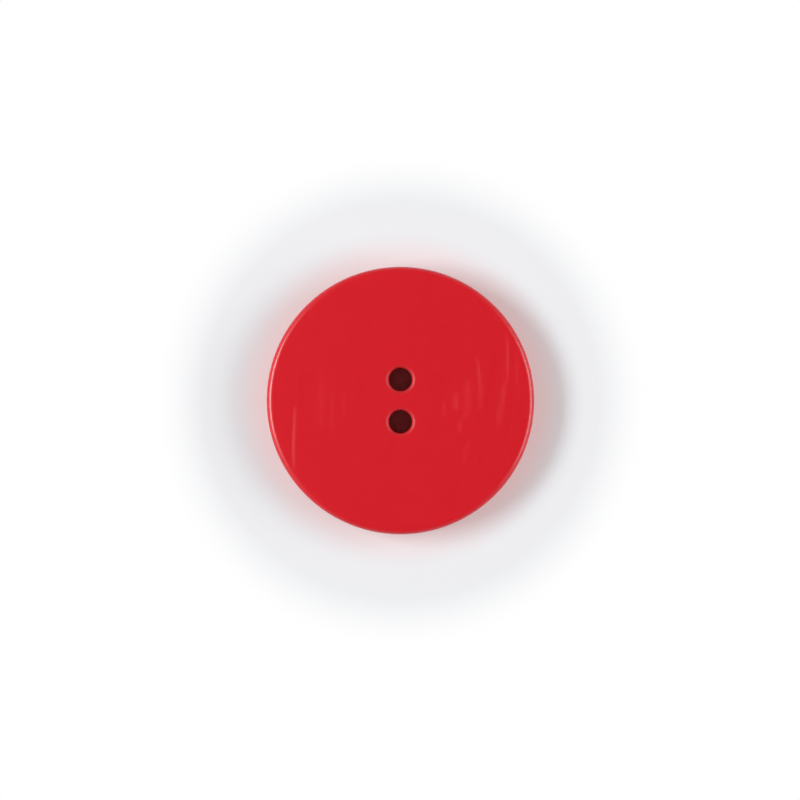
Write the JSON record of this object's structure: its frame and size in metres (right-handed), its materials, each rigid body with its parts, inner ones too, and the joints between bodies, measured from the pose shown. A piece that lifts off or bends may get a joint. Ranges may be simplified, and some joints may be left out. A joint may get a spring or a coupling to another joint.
{
  "type": "sewing button",
  "caption": "Round flat sewing button with rounded edges and thread holes through its middle, sewn on to close or trim a garment.",
  "frame": {"origin": "centre of the flat back, on the surface that the button lies on", "axes": "+Z out of the face, along the button's own axis; +Y along the line through the thread holes, which is up in the picture; +X to the right"},
  "size_m": [0.0254, 0.0254, 0.0032],
  "materials": {
    "dyed_polyamide": "satin, sanded across the face and dyed"
  },
  "bodies": {
    "root": {"button": "dyed_polyamide"}
  },
  "joints": []
}
